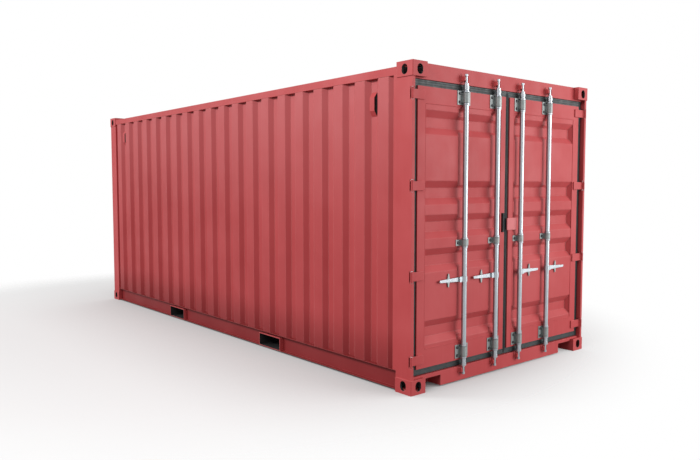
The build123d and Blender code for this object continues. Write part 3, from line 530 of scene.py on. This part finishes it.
# Painted shade: the same black lines the fork pockets inside, top, bottom and both walls, where they lie in
# shade.
POCKET_FOOT, POCKET_HEAD, POCKET_MOUTH = 0.022, 0.137, SIDE - 0.0125
SHADE_SHEET, SHADE_SHEET_GAP = 0.0015, 0.0002
walls = []
for middle in POCKET_PLACES:
    x0, x1 = middle - POCKET_HALF, middle + POCKET_HALF
    low, high = POCKET_FOOT + SHADE_SHEET, POCKET_HEAD - SHADE_SHEET
    walls += [[(x0, -POCKET_MOUTH, POCKET_FOOT), (x1, POCKET_MOUTH, low)],
              [(x0, -POCKET_MOUTH, high), (x1, POCKET_MOUTH, POCKET_HEAD)],
              [(x0, -POCKET_MOUTH, low + SHADE_SHEET_GAP), (x0 + SHADE_SHEET, POCKET_MOUTH, high - SHADE_SHEET_GAP)],
              [(x1 - SHADE_SHEET, -POCKET_MOUTH, low + SHADE_SHEET_GAP), (x1, POCKET_MOUTH, high - SHADE_SHEET_GAP)]]
slabs("fork_pocket_coat", corners(walls), black_painted_shade, "box_frame", 0.0003)

# Black screen in the open side of each ventilator hood, wide at the wall and narrow at the front, its black
# a painted shade inside the hood, and a black strip on the wall beside it, a painted shade that widens the
# dark.
SCREEN_FROM, SCREEN_TO = 0.021, 0.0225
HOOD_AT_WALL, HOOD_FRONT = 0.0438, 0.0185
WALL_HALF, FRONT_HALF = 0.092, 0.050
SHADE_STRIP_END, SHADE_STRIP_HALF, SHADE_STRIP_SUNK, SHADE_STRIP_PROUD = 0.043, 0.093, 0.0008, 0.0016
screens = []
for middle in VENT_PLACES:
    for _, side in SIDES:
        x0, x1 = middle + SCREEN_FROM, middle + SCREEN_TO
        wall, front = side * (SIDE - HOOD_AT_WALL), side * (SIDE - HOOD_FRONT)
        ring = [(wall, -WALL_HALF), (front, -FRONT_HALF), (front, FRONT_HALF), (wall, WALL_HALF)][::side]
        screens.append([(x, y, VENT_LEVEL + dz) for x in (x0, x1) for y, dz in ring])
        low, high = sorted((wall - side * SHADE_STRIP_SUNK, wall + side * SHADE_STRIP_PROUD))
        shade_strip = [(x1, low, VENT_LEVEL - SHADE_STRIP_HALF), (middle + SHADE_STRIP_END, high, VENT_LEVEL + SHADE_STRIP_HALF)]
        screens.append(corners([shade_strip])[0].tolist())
slabs("vent_screens", screens, black_painted_shade, "box_frame", 0.0003)

# Countersunk screws that hold the floor to each cross member. The members stand in three bays, parted by
# the fork pockets: where each bay starts and stops, and how many it has.
BAYS = ((1.256, 2.8285, 5), (-0.794, 0.794, 5), (-2.8285, -1.256, 6))
SCREWS_ACROSS, SCREWS_REACH = 10, 1.10
SCREW_HEAD = [(0.0, -0.0012), (0.0062, -0.0012), (0.0062, 0.0004), (0.0050, 0.0007), (0.0024, 0.0002),
              (0.0, 0.0002)]
spots = [(x, y, FLOOR_TOP) for low, high, count in BAYS for x in np.linspace(low, high, count)
         for y in np.linspace(-SCREWS_REACH, SCREWS_REACH, SCREWS_ACROSS)]
turned("floor_screws", spots, SCREW_HEAD, galvanised, "box_frame", around=12)

# Camera where the photograph was taken from, fitted to the edges of the box.
lens = bpy.data.cameras.new("camera")
lens.lens = 35.05
lens.sensor_width = 36
camera = bpy.data.objects.new("camera", lens)
bpy.context.scene.collection.objects.link(camera)
azimuth, pitch = math.radians(49.86), math.radians(3.73)
camera.location = (6.702, -4.936, 1.639)
camera.rotation_euler = (math.pi / 2 - pitch, 0, azimuth)
bpy.context.scene.camera = camera

# The floor is seen whole within the first distance from this spot and not at all beyond the second.
FLOOR_MIDDLE = (-0.9, -0.8, 0)
FLOOR_CLEAR, FLOOR_GONE = 3.6, 5.3


def stage_floor():
    """Pale studio floor. To the camera it glows a little, so that it runs into the white backdrop,
    and its own diffuse part keeps the shadow; ambient occlusion dims the glow near the box, a painted
    shade round its foot. To every other ray it is darker, so that it throws less light back on the foot
    of the object."""
    mesh = bpy.data.meshes.new("studio_floor")
    mesh.from_pydata([(-60, -60, 0), (60, -60, 0), (60, 60, 0), (-60, 60, 0)], [], [(0, 1, 2, 3)])
    made = bpy.data.objects.new("studio_floor", mesh)
    bpy.context.scene.collection.objects.link(made)
    material = bpy.data.materials.new("matt_studio_floor")
    material.use_nodes = True
    tree = material.node_tree
    tree.nodes.clear()
    path = add(tree, "ShaderNodeLightPath").outputs
    seen = add(tree, "ShaderNodeMath", {"operation": "MAXIMUM"}, in0=path["Is Camera Ray"],
               in1=path["Is Glossy Ray"]).outputs[0]
    # Painted shade: the glow dims where the box hides the sky.
    painted_contact_shade = add(tree, "ShaderNodeAmbientOcclusion", {"samples": 12}, distance=1.6).outputs["Color"]
    glow = add(tree, "ShaderNodeEmission", color=painted_contact_shade, strength=0.40).outputs[0]
    matt = add(tree, "ShaderNodeBsdfDiffuse", color=(0.42, 0.42, 0.42, 1)).outputs[0]
    bounce = add(tree, "ShaderNodeBsdfDiffuse", color=(0.12, 0.12, 0.12, 1)).outputs[0]
    both = add(tree, "ShaderNodeAddShader", in0=glow, in1=matt).outputs[0]
    place = add(tree, "ShaderNodeTexCoord").outputs["Object"]
    away = add(tree, "ShaderNodeVectorMath", {"operation": "DISTANCE"}, in0=place,
               in1=FLOOR_MIDDLE).outputs["Value"]
    far = add(tree, "ShaderNodeMapRange", {"interpolation_type": "SMOOTHSTEP"}, value=away,
              from_min=FLOOR_CLEAR, from_max=FLOOR_GONE).outputs[0]
    clear = add(tree, "ShaderNodeBsdfTransparent").outputs[0]
    faded = add(tree, "ShaderNodeMixShader", in0=far, in1=both, in2=clear).outputs[0]
    shown = add(tree, "ShaderNodeMixShader", in0=seen, in1=bounce, in2=faded).outputs[0]
    add(tree, "ShaderNodeOutputMaterial", surface=shown)
    mesh.materials.append(material)


def studio_sky():
    """White to the camera and in reflections, and a soft pale grey as a light."""
    world = bpy.data.worlds.new("studio")
    bpy.context.scene.world = world
    world.use_nodes = True
    tree = world.node_tree
    tree.nodes.clear()
    path = add(tree, "ShaderNodeLightPath")
    seen = add(tree, "ShaderNodeMath", {"operation": "MAXIMUM"}, in0=path.outputs["Is Camera Ray"],
               in1=path.outputs["Is Transmission Ray"]).outputs[0]
    one = add(tree, "ShaderNodeMath", {"operation": "MAXIMUM"}, in0=seen,
              in1=path.outputs["Is Glossy Ray"]).outputs[0]
    soft = add(tree, "ShaderNodeBackground", color=(1, 1, 1, 1), strength=0.48).outputs[0]
    white = add(tree, "ShaderNodeBackground", color=(1, 1, 1, 1), strength=1.0).outputs[0]
    shown = add(tree, "ShaderNodeMixShader", in0=one, in1=soft, in2=white).outputs[0]
    add(tree, "ShaderNodeOutputWorld", surface=shown)


def soft_lamp(name, place, aim, wide, tall, watts):
    """Oblong area lamp at place, turned toward aim."""
    data = bpy.data.lights.new(name, "AREA")
    data.shape = "RECTANGLE"
    data.size = wide
    data.size_y = tall
    data.energy = watts
    made = bpy.data.objects.new(name, data)
    bpy.context.scene.collection.objects.link(made)
    toward = np.array(aim, float) - np.array(place, float)
    toward = toward / np.linalg.norm(toward)
    flat = math.hypot(toward[0], toward[1])
    made.rotation_euler = (math.atan2(flat, -toward[2]), 0, math.atan2(toward[1], toward[0]) - math.pi / 2)
    made.location = place


stage_floor()
studio_sky()
soft_lamp("door_lamp", (8.4, 4.2, 2.6), (3.0, 0.2, 1.4), 6.4, 4.4, 530)
soft_lamp("side_lamp", (-8.5, -11.5, 7.5), (1.0, -1.2, 1.5), 5.0, 3.0, 1380)
soft_lamp("long_lamp", (3.6, -6.6, 5.0), (3.4, -1.2, 1.4), 4.0, 1.4, 225)

scene = bpy.context.scene
scene.view_settings.view_transform = "Standard"
